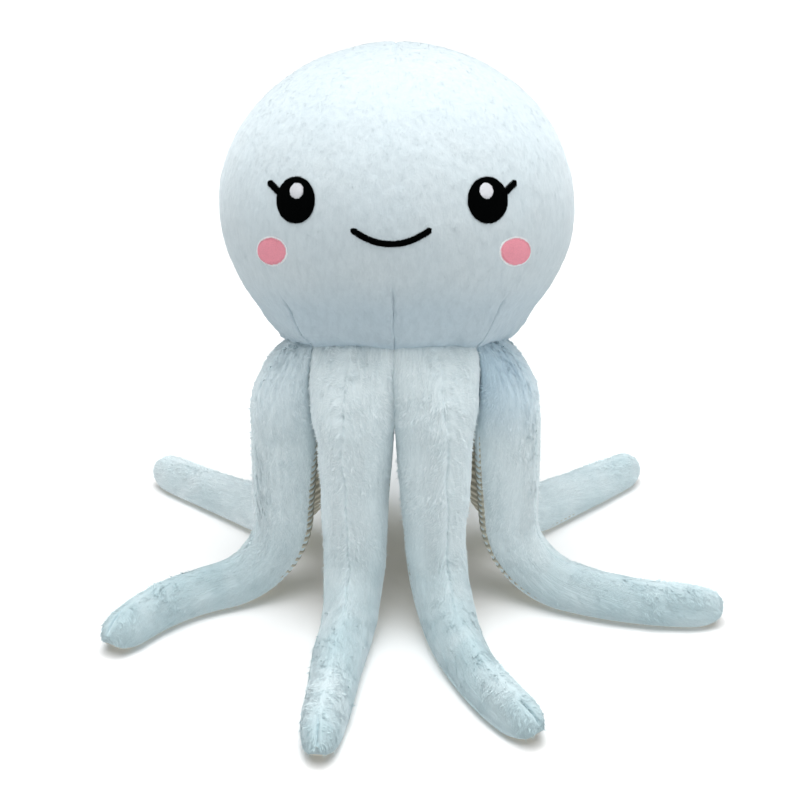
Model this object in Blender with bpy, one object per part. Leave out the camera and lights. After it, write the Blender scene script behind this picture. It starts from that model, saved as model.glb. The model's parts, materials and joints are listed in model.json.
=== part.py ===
"""A plush octopus: a round stuffed head, tilted back, on eight stuffed arms with ribbed soles.

Lengths are in metres and angles in degrees. The toy stands on the plane z = 0, with the origin
under the middle of its footprint, and its face looks towards -Y. Left and right are as seen
from the front. An azimuth is measured from -Y towards +X, so arm_1 to arm_8 go round
anticlockwise as seen from above.
"""
from collections import namedtuple
from math import asin, ceil, cos, pi, radians, sin, sqrt, tan

import bmesh
import bpy
from mathutils import Matrix, Vector

# Fabric and seams
fabric_thickness = 0.0020
gap = 0.0003
stuffing_gap = 0.0008
thread_thickness = 0.0010

# Head, measured from the neck plane, where its skin is gathered into a ring of seams
head_radius = 0.0820
crown_height = 0.0737
chin_height = 0.0735
neck_to_widest = 0.0590
neck_height = 0.1240
neck_corner_radius = 0.0517
head_tilt = 20.0
head_columns = 48
crown_rows = 7
chin_rows = 5
neck_gather_share = 0.45
arm_count = 8

# Face, placed from the head's middle line and its widest level
eye_width = 0.0196
eye_height = 0.0196
eye_across = 0.0401
eye_up = 0.0005
highlight_width = 0.0066
highlight_height = 0.0065
highlight_inward = 0.0020
highlight_up = 0.0037
lash_outer_across = 0.0520
lash_outer_up = 0.0086
lash_inner_across = 0.0468
lash_inner_up = 0.0034
smile_half_width = 0.0163
smile_middle_drop = 0.0176
smile_end_drop = 0.0115
line_width = 0.0026
cheek_width = 0.0185
cheek_height = 0.0118
cheek_across = 0.0521
cheek_drop = 0.0208

# Arms, measured along the centre line from the neck seam
arm_length = 0.2100
arm_width = 0.0330
arm_depth = 0.0290
arm_tip_width = 0.0190
arm_tip_depth = 0.0190
arm_edge_radius = 0.0025
arm_seam_clearance = 0.0005
shoulder_length = 0.0360
bend_radius = 0.0340
heel_length = 0.0060
tip_rounding = 0.0160
flat_depth = 0.0005
sole_depth_share = 0.26
edge_sole_depth_share = 0.50
core_flat_share = 0.60
route_step = 0.0010

# Where the cross-sections lie along each stretch of an arm
edge_row_angles = (30.0, 60.0, 90.0)
shoulder_row_shares = (0.35, 0.70, 1.0)
bend_row_shares = (0.0, 0.25, 0.50, 0.75, 1.0)
run_row_shares = (0.33, 0.66, 1.0)
rounding_row_shares = (0.50, 0.87, 0.99)
least_core_share = 0.30
skin_points = 7
core_points = 5

# Each arm's route: the lean of its shoulder and of its drop, the heading of its run along
# the floor with the turn that it makes on the way, and its length as a share of arm_length
Arm = namedtuple("Arm", "azimuth shoulder_lean lean heading turn length_share")
arms = (
    Arm(22.5, 24.0, 3.0, 16.0, 25.0, 1.02),
    Arm(67.5, 34.0, 3.0, 65.0, 30.0, 1.00),
    Arm(112.5, 22.0, -5.0, 129.0, 4.0, 0.95),
    Arm(157.5, 12.0, -3.0, 165.0, -10.0, 1.00),
    Arm(-157.5, 12.0, -3.0, -165.0, 10.0, 1.00),
    Arm(-112.5, 22.0, -5.0, -126.0, 0.0, 0.95),
    Arm(-67.5, 34.0, 3.0, -66.0, 40.0, 0.97),
    Arm(-22.5, 24.0, 3.0, -7.0, 4.0, 1.04),
)

# Derived sizes
octagon_half_angle = 180.0 / arm_count
neck_seam_radius = neck_corner_radius * cos(radians(octagon_half_angle))
hinge_radius = neck_seam_radius - arm_edge_radius / 2
hinge_drop = arm_edge_radius + gap
arm_top_width = 2 * (
    (hinge_radius - arm_edge_radius) * tan(radians(octagon_half_angle)) - arm_seam_clearance
)
neck_frame = Matrix.Translation((0, 0, neck_height)) @ Matrix.Rotation(radians(-head_tilt), 4, "X")


def smooth(share):
    """Ease from 0 to 1 with level ends."""
    share = min(max(share, 0), 1)
    return share * share * (3 - 2 * share)


def mix(start, end, share):
    return start + (end - start) * share


def compass(azimuth):
    """The horizontal direction at an azimuth."""
    return Vector((sin(radians(azimuth)), -cos(radians(azimuth)), 0))


def clear_scene():
    for thing in list(bpy.data.objects):
        bpy.data.objects.remove(thing, do_unlink=True)


def make_material(name, colour, roughness):
    material = bpy.data.materials.new(name)
    material.use_nodes = True
    shader = material.node_tree.nodes["Principled BSDF"]
    shader.inputs["Base Color"].default_value = (*colour, 1)
    shader.inputs["Roughness"].default_value = roughness
    shader.inputs["Metallic"].default_value = 0
    return material


def add_empty(name, world, parent=None, parent_world=None):
    """A pivot, with its local X along the axis that its children turn on."""
    empty = bpy.data.objects.new(name, None)
    collection.objects.link(empty)
    empty.parent = parent
    empty.matrix_basis = parent_world.inverted() @ world if parent else world
    return empty


def add_piece(name, bm, material, parent, parent_world, in_world=False):
    """Make a mesh object from bm. Its vertices are in the parent's frame, or in the world's."""
    if in_world:
        bm.transform(parent_world.inverted())
    bmesh.ops.recalc_face_normals(bm, faces=bm.faces)
    if bm.calc_volume(signed=True) < 0:
        bmesh.ops.reverse_faces(bm, faces=bm.faces)
    mesh = bpy.data.meshes.new(name)
    bm.to_mesh(mesh)
    bm.free()
    mesh.shade_smooth()
    mesh.set_sharp_from_angle(angle=radians(50))
    mesh.materials.append(material)
    piece = bpy.data.objects.new(name, mesh)
    collection.objects.link(piece)
    piece.parent = parent
    toy_points.extend(parent_world @ vertex.co for vertex in mesh.vertices)
    return piece


def loft(rings):
    """A closed solid through rings of points, with flat ends.

    Its quads are split along their shorter diagonals, so that nested lofts split alike.
    """
    bm = bmesh.new()
    rows = [[bm.verts.new(point) for point in ring] for ring in rings]
    count = len(rows[0])
    for row, following in zip(rows, rows[1:]):
        for i in range(count):
            j = (i + 1) % count
            bm.faces.new((row[i], row[j], following[j], following[i]))
    bmesh.ops.triangulate(bm, faces=bm.faces, quad_method="SHORT_EDGE")
    bm.faces.new(rows[0])
    bm.faces.new(reversed(rows[-1]))
    return bm


# Head

def neck_corner_stretch(azimuth):
    """How much further out the ring of eight seams lies than the round head would."""
    round_radius = head_radius * sqrt(1 - (neck_to_widest / chin_height) ** 2)
    side = 2 * octagon_half_angle
    from_middle = azimuth % side - octagon_half_angle
    return neck_seam_radius / cos(radians(from_middle)) / round_radius


def gather_neck(bm):
    """Draw the round lower head into the ring of seams, from its gathers down to the neck."""
    for vertex in bm.verts:
        height = vertex.co.z
        gathered = smooth(1 - height / (neck_to_widest * neck_gather_share))
        azimuth = vertex.co.xy.angle_signed(Vector((0, -1)), 0) * 180 / pi
        stretch = mix(1, neck_corner_stretch(azimuth), gathered)
        vertex.co.x *= stretch
        vertex.co.y *= stretch


def head_outline(inset, bottom):
    """Half of the head's outline, from the crown to the level bottom, inset from its skin."""
    radius = head_radius - inset
    crown = crown_height - inset
    chin = chin_height - inset
    chin_end = asin((neck_to_widest - bottom) / chin)
    upper = [radians(90 - 90 * row / crown_rows) for row in range(crown_rows)]
    lower = [chin_end * row / chin_rows for row in range(chin_rows + 1)]
    points = [Vector((radius * cos(a), 0, neck_to_widest + crown * sin(a))) for a in upper]
    points += [Vector((radius * cos(a), 0, neck_to_widest - chin * sin(a))) for a in lower]
    points[0].x = 0
    return points


def turn_outline(outline, turn, columns):
    """Turn an outline about the head's axis, and close what stays open."""
    bm = bmesh.new()
    points = [bm.verts.new(point) for point in outline]
    edges = [bm.edges.new(pair) for pair in zip(points, points[1:])]
    bmesh.ops.spin(
        bm, geom=points + edges, axis=(0, 0, 1), cent=(0, 0, 0), angle=turn, steps=columns
    )
    bmesh.ops.remove_doubles(bm, verts=bm.verts, dist=gap / 10)
    bmesh.ops.holes_fill(bm, edges=[edge for edge in bm.edges if edge.is_boundary], sides=0)
    gather_neck(bm)
    return bm


def add_head_panel(name, forward):
    """One half of the head's skin, up to the seam that runs over the crown from side to side."""
    outline = head_outline(0, 0) + head_outline(fabric_thickness, 0)[::-1]
    bm = turn_outline(outline, -pi if forward else pi, head_columns // 2)
    offset = -gap / 2 if forward else gap / 2
    bmesh.ops.translate(bm, verts=bm.verts, vec=(0, offset, 0))
    return add_piece(name, bm, plush, head, neck_frame)


def add_head_stuffing():
    bottom = fabric_thickness + stuffing_gap
    outline = head_outline(fabric_thickness + stuffing_gap, bottom)
    bm = turn_outline(outline + [Vector((0, 0, bottom))], 2 * pi, head_columns)
    return add_piece("head_stuffing", bm, stuffing, head, neck_frame)


def add_base_panel():
    """The panel that closes the head's underside, flush with the ring of seams."""
    round_radius = (head_radius - fabric_thickness) * sqrt(
        1 - (neck_to_widest / (chin_height - fabric_thickness)) ** 2
    )
    corner_radius = round_radius * neck_corner_stretch(0) - gap
    bm = bmesh.new()
    bmesh.ops.create_cone(
        bm, cap_ends=True, segments=arm_count, radius1=corner_radius, radius2=corner_radius,
        depth=fabric_thickness,
    )
    bmesh.ops.translate(bm, verts=bm.verts, vec=(0, 0, fabric_thickness / 2))
    return add_piece("base_panel", bm, ribbed, head, neck_frame)


# Face

def head_axes(height):
    """The head's half sizes about its widest level, on that height's side of it."""
    return Vector((head_radius, head_radius, crown_height if height > 0 else chin_height))


def head_normal(point):
    axes = head_axes(point.z)
    return Vector([place / axis ** 2 for place, axis in zip(point, axes)]).normalized()


def on_head(across, up, lift):
    """The point of the face at a place across and up from its middle, lifted off the skin."""
    axes = head_axes(up)
    depth = head_radius * sqrt(1 - (across / axes.x) ** 2 - (up / axes.z) ** 2)
    point = Vector((across, -depth, up))
    return point + head_normal(point) * lift


def drawn_to_head(point, lift):
    """The point of the skin in line with a point near it, lifted off the skin."""
    axes = head_axes(point.z)
    reach = sqrt(sum((place / axis) ** 2 for place, axis in zip(point, axes)))
    point = point / reach
    return point + head_normal(point) * lift


def add_face_piece(name, bm, material):
    bmesh.ops.translate(bm, verts=bm.verts, vec=(0, 0, neck_to_widest))
    return add_piece(name, bm, material, head, neck_frame)


def add_patch(name, across, up, width, height, lift, material, segments):
    """An oval of thread that follows the head, with a rounded rim."""
    middle = on_head(across, up, 0)
    normal = head_normal(middle)
    sideways = Vector((0, 0, 1)).cross(normal).normalized()
    upward = normal.cross(sideways)
    profile_shares = ((0.5, 0), (0.96, 0), (1, 0.4), (0.9, 1), (0.5, 1))
    rings = []
    for size_share, height_share in profile_shares:
        ring = []
        for i in range(segments):
            angle = 2 * pi * i / segments
            out = sideways * cos(angle) * width / 2 + upward * sin(angle) * height / 2
            point = middle + out * size_share
            ring.append(drawn_to_head(point, lift + thread_thickness * height_share))
        rings.append(ring)
    return add_face_piece(name, loft(rings), material)


def stitched_line_rings(places, lift):
    """Flattened cross-sections of a line of stitches along places across and up the face."""
    centres = [on_head(across, up, lift) for across, up in places]
    rings = []
    last = len(centres) - 1
    for i, centre in enumerate(centres):
        along = (centres[min(i + 1, last)] - centres[max(i - 1, 0)]).normalized()
        normal = head_normal(centre)
        sideways = along.cross(normal).normalized()
        size_share = 0.45 if i in (0, last) else 1
        profile_shares = ((-0.8, 0), (-1, 0.4), (-0.6, 1), (0.6, 1), (1, 0.4), (0.8, 0))
        rings.append([
            centre
            + sideways * (across_share * size_share * line_width / 2)
            + normal * (height_share * size_share * thread_thickness)
            for across_share, height_share in profile_shares
        ])
    return rings


def add_smile():
    spans = 10
    places = []
    for i in range(spans + 1):
        share = 2 * i / spans - 1
        drop = mix(smile_middle_drop, smile_end_drop, share * share)
        places.append((share * smile_half_width, -drop))
    add_face_piece("smile", loft(stitched_line_rings(places, gap)), black_thread)


def add_lash(eye, side):
    """Stitch a short line from an eye's rim outwards, in one with the eye."""
    spans = 3
    places = []
    for i in range(spans + 1):
        across = mix(lash_outer_across, lash_inner_across, i / spans)
        places.append((side * across, mix(lash_outer_up, lash_inner_up, i / spans)))
    lash = add_face_piece(eye.name + "_lash", loft(stitched_line_rings(places, gap)), black_thread)
    collection.objects.unlink(lash)
    helpers.objects.link(lash)
    lash.hide_render = True
    lash.display_type = "WIRE"
    union = eye.modifiers.new("lash", "BOOLEAN")
    union.operation = "UNION"
    union.solver = "EXACT"
    union.object = lash


def add_face():
    for side, word in ((-1, "left"), (1, "right")):
        eye = add_patch(
            "eye_" + word, side * eye_across, eye_up, eye_width, eye_height, gap,
            black_thread, 20,
        )
        add_patch(
            "highlight_" + word, side * (eye_across - highlight_inward), eye_up + highlight_up,
            highlight_width, highlight_height, 2 * gap + thread_thickness, white_thread, 12,
        )
        add_patch(
            "cheek_" + word, side * cheek_across, -cheek_drop, cheek_width, cheek_height, gap,
            pink_thread, 16,
        )
        add_lash(eye, side)
    add_smile()


# Arms

def arm_reach(arm):
    return arm_length * arm.length_share


def arm_section(arm, along):
    """Half width, half depth and the sole's share of the depth at a place along an arm."""
    if along <= 0:
        share = sqrt(1 - (along / arm_edge_radius) ** 2)
        return arm_top_width / 2, arm_edge_radius * share, edge_sole_depth_share
    end = arm_reach(arm) - tip_rounding
    swell = sin(radians(90 * min(along / shoulder_length, 1)))
    taper = smooth((along - shoulder_length) / (end - shoulder_length))
    half_width = mix(mix(arm_top_width, arm_width, swell), arm_tip_width, taper) / 2
    half_depth = mix(mix(2 * arm_edge_radius, arm_depth, swell), arm_tip_depth, taper) / 2
    rounding = sqrt(1 - (max(along - end, 0) / tip_rounding) ** 2)
    sole_share = mix(edge_sole_depth_share, sole_depth_share, swell)
    return half_width * rounding, half_depth * rounding, sole_share


def seam_frame(arm):
    """An arm's seat on the neck: its hinge point, the seam's direction and the way it leaves."""
    tilt = neck_frame.to_3x3()
    seat = neck_frame @ (compass(arm.azimuth) * hinge_radius - Vector((0, 0, hinge_drop)))
    seam = tilt @ compass(arm.azimuth + 90)
    down = -(Vector((0, 0, 1)) - seam * seam.z).normalized()
    outward = down.cross(seam)
    lean = radians(arm.shoulder_lean)
    return seat, seam, down * cos(lean) + outward * sin(lean)


def walk_arm(arm, drop):
    """Follow an arm from its seam, down its drop, round its bend and along the floor."""
    seat, seam, leaving = seam_frame(arm)
    bend = bend_radius * radians(90 - arm.lean)
    run_start = drop + bend
    steps = ceil(arm_reach(arm) / route_step)
    step = arm_reach(arm) / steps
    here = seat
    stations = []
    for i in range(2 * steps + 1):
        along = i * step / 2
        pitch = radians(mix(arm.lean, 90, min(max((along - drop) / bend, 0), 1)))
        run_share = min(max((along - run_start) / (arm_reach(arm) - run_start), 0), 1)
        facing = mix(arm.azimuth, arm.heading, smooth(along / drop)) + arm.turn * run_share
        ahead = compass(facing) * sin(pitch) - Vector((0, 0, cos(pitch)))
        ahead = leaving.lerp(ahead, smooth(along / shoulder_length)).normalized()
        side = seam.lerp(compass(facing + 90), smooth(along / shoulder_length))
        side = (side - ahead * side.dot(ahead)).normalized()
        if i % 2:
            here = here + ahead * step
        else:
            stations.append((along, here, ahead, side))
    return stations, run_start


def route_arm(arm):
    """An arm's stations, with the drop that brings its bend to rest on the floor."""
    drop = neck_height / 2
    for _ in range(3):
        stations, run_start = walk_arm(arm, drop)
        low = stations[-1][1].z - (arm_section(arm, run_start)[1] - flat_depth)
        drop += low / cos(radians(arm.lean))
    return walk_arm(arm, drop) + (drop,)


def station_at(arm, stations, run_start, along):
    """The centre, direction, side and outer side of the cross-section at a place."""
    step = stations[1][0]
    index = min(max(int(along / step), 0), len(stations) - 2)
    before, after = stations[index], stations[index + 1]
    share = (along - before[0]) / step
    centre = before[1].lerp(after[1], share)
    ahead = before[2].lerp(after[2], share).normalized()
    side = before[3].lerp(after[3], share)
    side = (side - ahead * side.dot(ahead)).normalized()
    if along >= run_start:
        full_end = min(along, arm_reach(arm) - tip_rounding)
        centre.z = arm_section(arm, full_end)[1] - flat_depth
    return centre, side, ahead.cross(side)


def arc(half_width, rise, base, points):
    """Half an oval over a base line, from its right end to its left."""
    angles = [pi * i / (points - 1) for i in range(points)]
    return [(half_width * cos(a), base + rise * sin(a)) for a in angles]


def flat_arc(half_width, depth, base, flat, middle_points):
    """Half an oval under a base line, from its left end to its right, cut flat at the bottom."""
    end = asin((depth - flat) / depth)
    angles = [end * i / (middle_points + 1) for i in range(middle_points + 2)]
    right = [(half_width * cos(a), base - depth * sin(a)) for a in angles]
    return [(-x, y) for x, y in right] + right[::-1]


def section_shapes(arm, along):
    """The outlines of the skin, the sole and the stuffing in one cross-section."""
    half_width, half_depth, sole_share = arm_section(arm, along)
    seam = half_depth * (2 * sole_share - 1)
    rise = half_depth - seam - gap / 2
    depth = half_depth + seam - gap / 2
    core_width = max(half_width - fabric_thickness, half_width * least_core_share)
    core_rise = max(rise - fabric_thickness, 0)
    core_depth = max(depth - flat_depth - fabric_thickness, 0)
    flat = min(flat_depth, depth * least_core_share)
    skin = arc(half_width, rise, seam + gap / 2, skin_points)
    skin += arc(core_width, core_rise, seam + gap / 2, core_points)[::-1]
    core_flat = core_width * core_flat_share
    core_floor = seam - gap / 2 - core_depth
    sole = flat_arc(half_width, depth, seam - gap / 2, flat, 1)
    sole += [(core_width, seam - gap / 2), (core_flat, core_floor)]
    sole += [(-core_flat, core_floor), (-core_width, seam - gap / 2)]
    filled_flat = core_flat - stuffing_gap
    filled_floor = core_floor + stuffing_gap
    filling = arc(core_width - stuffing_gap, core_rise - stuffing_gap, seam, core_points)
    filling += [(-filled_flat, filled_floor), (filled_flat, filled_floor)]
    return skin, sole, filling


def add_arm_length(name, arm, route, rows, filled_rows, pivot, pivot_world):
    """The skin, the sole and the stuffing of one length of an arm, through its rows."""
    stations, run_start, _ = route
    rings = {"skin": [], "sole": [], "stuffing": []}
    for along in rows:
        centre, side, out = station_at(arm, stations, run_start, along)
        shapes = section_shapes(arm, along)
        for key, shape in zip(rings, shapes):
            if key != "stuffing" or along in filled_rows:
                rings[key].append([centre + side * x + out * y for x, y in shape])
    for key, material in zip(rings, (plush, ribbed, stuffing)):
        piece_name = name + "_" + key
        add_piece(piece_name, loft(rings[key]), material, pivot, pivot_world, in_world=True)


def pivot_frame(point, axis):
    """A frame at a point with its local X along an axis."""
    across = axis.orthogonal().normalized()
    columns = Matrix((axis, across, axis.cross(across))).transposed()
    return Matrix.Translation(point) @ columns.to_4x4()


def add_arm(number, arm):
    name = "arm_%d" % number
    route = route_arm(arm)
    stations, run_start, drop = route
    cut = run_start + heel_length
    run_end = arm_reach(arm) - tip_rounding

    seat, seam, _ = seam_frame(arm)
    swing_world = pivot_frame(seat, -seam)
    swing = add_empty(name + "_swing", swing_world)
    cut_centre, cut_side, cut_out = station_at(arm, stations, run_start, cut)
    crown = cut_centre + cut_out * arm_section(arm, cut)[1]
    curl_world = pivot_frame(crown, -cut_side)
    curl = add_empty(name + "_curl", curl_world, swing, swing_world)

    edge_rows = [-arm_edge_radius * cos(radians(angle)) for angle in edge_row_angles]
    shoulder_rows = [shoulder_length * share for share in shoulder_row_shares]
    bend_rows = [mix(drop, run_start, share) for share in bend_row_shares]
    inner_rows = shoulder_rows + bend_rows + [cut - gap / 2]
    add_arm_length(name + "_root", arm, route, edge_rows + inner_rows, inner_rows,
                   swing, swing_world)

    run_rows = [mix(cut, run_end, share) for share in run_row_shares]
    rounding_rows = [run_end + tip_rounding * share for share in rounding_row_shares]
    tip_rows = [cut + gap / 2] + run_rows + rounding_rows
    add_arm_length(name + "_tip", arm, route, tip_rows, tip_rows[:-2], curl, curl_world)


def centre_on_footprint():
    """Move the toy so that the origin is under the middle of the floor that it covers."""
    for axis in (0, 1):
        reaches = [point[axis] for point in toy_points]
        middle = (min(reaches) + max(reaches)) / 2
        for thing in collection.objects:
            if thing.parent is None:
                thing.location[axis] -= middle


clear_scene()
toy_points = []
collection = bpy.data.collections.new("plush_octopus")
bpy.context.scene.collection.children.link(collection)
helpers = bpy.data.collections.new("helpers")
bpy.context.scene.collection.children.link(helpers)

plush = make_material("pale_blue_plush", (0.58, 0.70, 0.76), 0.95)
ribbed = make_material("cream_ribbed_fabric", (0.74, 0.66, 0.52), 0.90)
stuffing = make_material("white_stuffing", (0.90, 0.90, 0.88), 1.0)
black_thread = make_material("black_thread", (0.004, 0.004, 0.006), 0.45)
white_thread = make_material("white_thread", (0.75, 0.77, 0.80), 0.50)
pink_thread = make_material("pink_thread", (0.68, 0.28, 0.34), 0.55)

head = add_empty("head_neck", neck_frame)
add_head_panel("head_front_panel", forward=True)
add_head_panel("head_back_panel", forward=False)
add_head_stuffing()
add_base_panel()
add_face()
for arm_number, arm_entry in enumerate(arms, 1):
    add_arm(arm_number, arm_entry)
centre_on_footprint()
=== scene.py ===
"""Dresses the plush octopus: piled plush, ribbed soles, seams and a satin-stitched face.

Lengths are in metres and angles in degrees. The toy stands on z = 0 and its face looks
towards -Y. Azimuths are measured from -Y towards +X. The arms are numbered from 1, from the
front right one anticlockwise as seen from above.
"""

import json
from collections import namedtuple
from math import asin, ceil, cos, hypot, pi, radians, sin, sqrt, tan

import bmesh
import bpy
import numpy as np
from mathutils import Matrix, Vector
from mathutils.bvhtree import BVHTree


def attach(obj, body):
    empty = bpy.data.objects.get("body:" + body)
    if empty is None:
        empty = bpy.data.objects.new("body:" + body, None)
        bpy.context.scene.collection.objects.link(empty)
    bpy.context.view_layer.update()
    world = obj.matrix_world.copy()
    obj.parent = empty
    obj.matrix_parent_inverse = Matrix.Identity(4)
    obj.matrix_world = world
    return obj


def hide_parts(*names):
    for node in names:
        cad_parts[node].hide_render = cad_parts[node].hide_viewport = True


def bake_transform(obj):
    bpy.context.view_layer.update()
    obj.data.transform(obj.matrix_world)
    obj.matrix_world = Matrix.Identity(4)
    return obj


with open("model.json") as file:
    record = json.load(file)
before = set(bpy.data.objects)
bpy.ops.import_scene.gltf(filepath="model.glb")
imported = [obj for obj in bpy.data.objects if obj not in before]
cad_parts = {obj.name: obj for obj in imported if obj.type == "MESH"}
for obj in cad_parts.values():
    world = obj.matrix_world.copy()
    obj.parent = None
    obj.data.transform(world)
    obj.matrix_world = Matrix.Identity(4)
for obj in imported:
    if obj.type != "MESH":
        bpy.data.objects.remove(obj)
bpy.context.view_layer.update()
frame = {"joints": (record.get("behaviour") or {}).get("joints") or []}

# The solids' own sizes, repeated from the part's source
gap = 0.0003
head_radius = 0.0820
crown_height = 0.0737
chin_height = 0.0735
neck_to_widest = 0.0590
neck_height = 0.1240
neck_corner_radius = 0.0517
head_tilt = 20.0
neck_gather_share = 0.45
arm_count = 8
eye_width = 0.0196
eye_height = 0.0196
eye_across = 0.0401
eye_up = 0.0005
highlight_width = 0.0066
highlight_height = 0.0065
highlight_inward = 0.0020
highlight_up = 0.0037
lash_outer_across = 0.0520
lash_outer_up = 0.0086
lash_inner_across = 0.0468
lash_inner_up = 0.0034
smile_half_width = 0.0163
smile_middle_drop = 0.0176
smile_end_drop = 0.0115
line_width = 0.0026
cheek_width = 0.0185
cheek_height = 0.0118
cheek_across = 0.0521
cheek_drop = 0.0208
arm_length = 0.2100
arm_width = 0.0330
arm_depth = 0.0290
arm_tip_width = 0.0190
arm_tip_depth = 0.0190
arm_edge_radius = 0.0025
arm_seam_clearance = 0.0005
shoulder_length = 0.0360
bend_radius = 0.0340
heel_length = 0.0060
tip_rounding = 0.0160
flat_depth = 0.0005
sole_depth_share = 0.26
edge_sole_depth_share = 0.50
route_step = 0.0010

Arm = namedtuple("Arm", "azimuth shoulder_lean lean heading turn length_share")
arms = (
    Arm(22.5, 24.0, 3.0, 16.0, 25.0, 1.02),
    Arm(67.5, 34.0, 3.0, 65.0, 30.0, 1.00),
    Arm(112.5, 22.0, -5.0, 129.0, 4.0, 0.95),
    Arm(157.5, 12.0, -3.0, 165.0, -10.0, 1.00),
    Arm(-157.5, 12.0, -3.0, -165.0, 10.0, 1.00),
    Arm(-112.5, 22.0, -5.0, -126.0, 0.0, 0.95),
    Arm(-67.5, 34.0, 3.0, -66.0, 40.0, 0.97),
    Arm(-22.5, 24.0, 3.0, -7.0, 4.0, 1.04),
)

octagon_half_angle = 180.0 / arm_count
neck_seam_radius = neck_corner_radius * cos(radians(octagon_half_angle))
neck_round_radius = head_radius * sqrt(1 - (neck_to_widest / chin_height) ** 2)
hinge_radius = neck_seam_radius - arm_edge_radius / 2
hinge_drop = arm_edge_radius + gap
arm_top_width = 2 * (
    (hinge_radius - arm_edge_radius) * tan(radians(octagon_half_angle)) - arm_seam_clearance
)

# The head's fabric. Lumps have a height and a size across, and grooves a depth and a half width
head_columns = 440
head_row_step = 0.0011
dart_crowding = 0.6
rim_drop = 0.0034
rim_roll = 0.0017
rim_rise = 0.0140
# Rings under the rim, each by how far in it lies and how high
rim_underside = ((0.0008, -0.0040), (0.0024, -0.0042), (0.0044, -0.0024), (0.0050, 0.0024))
head_lumps = ((0.0006, 0.038), (0.00022, 0.012))
# The clumps of the head's pile: height, size across, share of it up and down, and seed
head_clumps = ((0.00016, 0.0022, 0.5, 21), (0.00010, 0.0011, 0.4, 22))
neck_seam = (0.0012, 0.0006)
neck_seam_hollow = (0.0010, 0.0045)
neck_seam_top = 0.022
middle_seam_top = 0.027
neck_seam_fade = 0.010
crown_seam = (0.00055, 0.0007)
crown_seam_low = 0.010
crown_seam_fade = 0.020
crown_dart = (0.0008, 0.0009)
crown_dart_reach = 0.042
crown_dart_fade = 0.012
neck_folds = (0.0006, 0.0042)
neck_fold_reach = 0.012

# The arms' fabric
arm_row_step = 0.0010
arm_columns = 132
top_crowding = 0.6
arm_fullness = 0.0007
arm_lumps = ((0.0010, 0.024), (0.0004, 0.009))
# The seam down the middle of an arm, its stitches and the hollow that it lies in
arm_seam_width = 0.00055
arm_seam_depth = 0.0006
arm_seam_pucker = 0.0002
stitch_depth = 0.0005
stitch_length = 0.0048
arm_seam_hollow = (0.0004, 0.0030)
arm_seam_end_share = 0.72
side_seam = (0.0004, 0.0012)
# The folds at the bend: how far before its end each lies, and its depth
bend_folds = ((0.016, 0.0002), (0.006, 0.0003), (-0.005, 0.0002))
fold_width = 0.0026
# The tips: how much narrower they are sewn than the solids, from how far back, and how blunt
tip_pinches = (0.16, 0.04, 0.10, 0.10, 0.10, 0.10, 0.03, 0.24)
tip_pinch_reach = 0.030
tip_bluntness = 2.3
tip_crease_width = 0.0006
tip_crease_depth = 0.0012
deep_tip_crease = 0.0022
deep_creased_arms = (1, 8)
tip_hollow_width = 0.0022
# The flanks of the arms, which swell until they meet at the neck
flank_reach = 0.030
flank_fade = 0.018
flank_limit = 0.0028
flank_near = 0.0025
knee_place = 0.085
knee_length = 0.030
knee_share = 0.05
# How wide the slit between two neighbouring arms is left, by the distance down them
slit_places = (0.030, 0.046, 0.075, 0.100, 0.128)
slit_widths = (0.0, 0.0042, 0.0044, 0.0026, 0.0034)

# The ribbed cloth
rib_pitch = 0.003175
rib_height = 0.0008
rib_samples = 8
# A wave texture of scale 1 repeats at this distance
wave_unit = 2 * pi / 20
sole_columns = 22
sole_thickness = 0.0014
sole_edge = 0.0004
sole_edges_shown = (2, 3, 6, 7)
sole_edge_end = 0.045
least_sole_half_width = 0.0004
base_columns = 90
base_inset = 0.0031
base_top = 0.0018
base_bottom = 0.0002
base_rib_height = 0.0003

# The pile: how its clumps and blades lie
head_pile_count = 90000
arm_pile_count = 30000
head_pile_length = 0.0015
head_pile_lift = 0.22
head_pile_spread = 0.5
least_blade_share = 0.3
arm_pile_length = 0.0023
pile_width = 0.00042
pile_root_depth = 0.0002
own_normal_share = 0.55
tuft_lumps = ((1, 0.0014), (0.6, 0.0007))
tuft_shading = 0.6
fleck_share = 0.22
nap_turn_at_seam = 66.0
nap_turn_at_side = 20.0
nap_turn_reach = 0.011
nap_swirls = ((0.0022, 0.008), (0.0012, 0.004))
blade_swirls = ((1, 0.004), (1, 0.011))
clump_height = 0.0003
clump_lumps = ((1, 0.0015), (0.5, 0.0009))
seam_ruffle_reach = 0.007
# How much of the clumps, the ruffling and the turn of the nap is left on the arms' runs
run_clump_share = 0.22
run_ruffle_share = 0.25
run_turn_share = 0.2
run_fade = 0.03

# Along an arm, where its bluer patches begin and where they are full
cool_from = 0.085
cool_to = 0.150
bluer_arms = {1: 0.45, 2: 0.15, 6: -0.4, 7: 0.55, 8: 0.25}
# Painted shade: the plush is coloured darker on the arms' tops under the head, on the head's
# underside near its rim, and in the crease of the neck's seams
painted_shade_arms = {2: 0.75, 3: 0.5, 6: 0.5, 7: 0.2}
painted_shade_sides = {2: 1, 7: -1}
painted_shade_side_reach = 0.014
painted_shade_reach = 0.048
painted_shade_fade = 0.038
painted_shade_seam = 0.25
painted_shade_seam_reach = 0.003
painted_shade_rim = 0.48
painted_shade_rim_reach = 0.030
painted_shade_rim_fade = 0.020
painted_shade_tint = (0.68, 0.78, 0.86)
# Colours of the plush: deep, pale, and where it is bluer
head_colours = ((0.513, 0.585, 0.616), (0.609, 0.681, 0.710), (0.53, 0.625, 0.672))
arm_colours = ((0.605, 0.695, 0.725), (0.750, 0.840, 0.862), (0.480, 0.612, 0.648))
# The pile's colours are lighter than the cloth's: painted highlight of the light that the pile's
# tips catch
pile_colours = ((0.690, 0.782, 0.808), (0.885, 0.955, 0.975), (0.545, 0.682, 0.716))
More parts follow.
